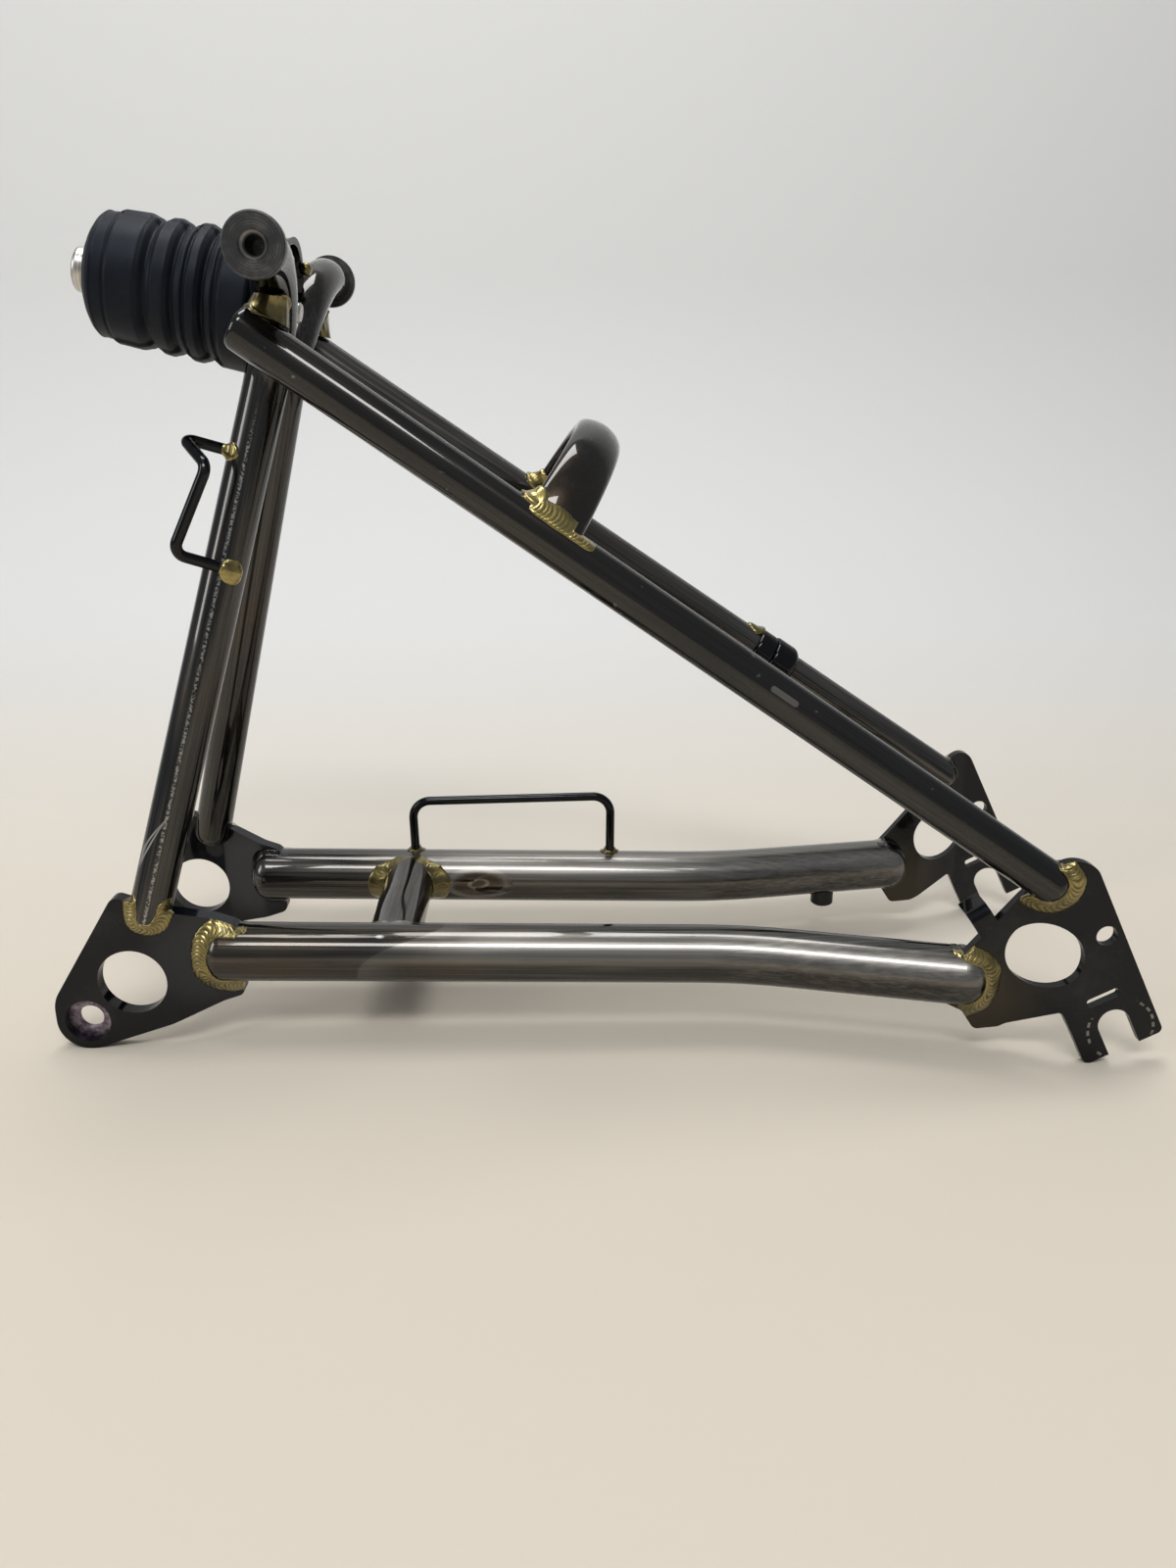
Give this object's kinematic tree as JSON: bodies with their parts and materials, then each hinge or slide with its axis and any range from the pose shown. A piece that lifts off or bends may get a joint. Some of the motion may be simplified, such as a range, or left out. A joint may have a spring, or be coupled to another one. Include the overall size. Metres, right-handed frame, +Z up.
{
  "type": "bicycle rear triangle",
  "caption": "Brazed steel rear triangle of a small-wheeled folding bicycle, with slotted axle plates, a pivot clevis, roller bosses and a rubber suspension block.",
  "frame": {"origin": "on the pivot axis, midway between the two pivot plates", "axes": "+X back towards the wheel axle, +Y to the drive side along the pivot axis, +Z up"},
  "size_m": [0.3525, 0.1194, 0.2533],
  "materials": {
    "tube_finish": "drawn steel under a dark clear lacquer, streaked and glossy",
    "plate_finish": "near-black gloss lacquer on steel plate, worn at the slots",
    "boss_steel": "bare turned steel, dull",
    "bright_steel": "bright turned steel",
    "block_rubber": "matte moulded rubber",
    "wire_finish": "black satin lacquer",
    "braze_brass": "rippled brass fillet"
  },
  "bodies": {
    "root": {"block_dish": "tube_finish", "block_nut": "bright_steel", "block_washer": "bright_steel", "braze_arch_left": "braze_brass", "braze_arch_right": "braze_brass", "braze_axle_chainstay_left": "braze_brass", "braze_axle_chainstay_right": "braze_brass", "braze_axle_seatstay_left": "braze_brass", "braze_axle_seatstay_right": "braze_brass", "braze_bridge_left": "braze_brass", "braze_bridge_right": "braze_brass", "braze_cable_stop": "braze_brass", "braze_dish_left": "braze_brass", "braze_dish_right": "braze_brass", "braze_elbow_seatstay_left": "braze_brass", "braze_elbow_seatstay_right": "braze_brass", "braze_guide_front": "braze_brass", "braze_guide_rear": "braze_brass", "braze_loop_lower": "braze_brass", "braze_loop_upper": "braze_brass", "braze_pivot_chainstay_left": "braze_brass", "braze_pivot_chainstay_right": "braze_brass", "braze_pivot_upright_left": "braze_brass", "braze_pivot_upright_right": "braze_brass", "cable_loop_left": "wire_finish", "cable_peg_right": "wire_finish", "cable_stop_right": "wire_finish", "chainstay_bridge": "tube_finish", "chainstay_left": "tube_finish", "chainstay_right": "tube_finish", "dropout_left": "plate_finish", "dropout_right": "plate_finish", "guide_wire_right": "wire_finish", "nose_bolt": "bright_steel", "pivot_plate_left": "plate_finish", "pivot_plate_right": "plate_finish", "roller_boss_left": "boss_steel", "roller_boss_right": "boss_steel", "seatstay_arch": "tube_finish", "seatstay_left": "tube_finish", "seatstay_right": "tube_finish", "suspension_block": "block_rubber", "upright_left": "tube_finish", "upright_right": "tube_finish"}
  },
  "joints": []
}
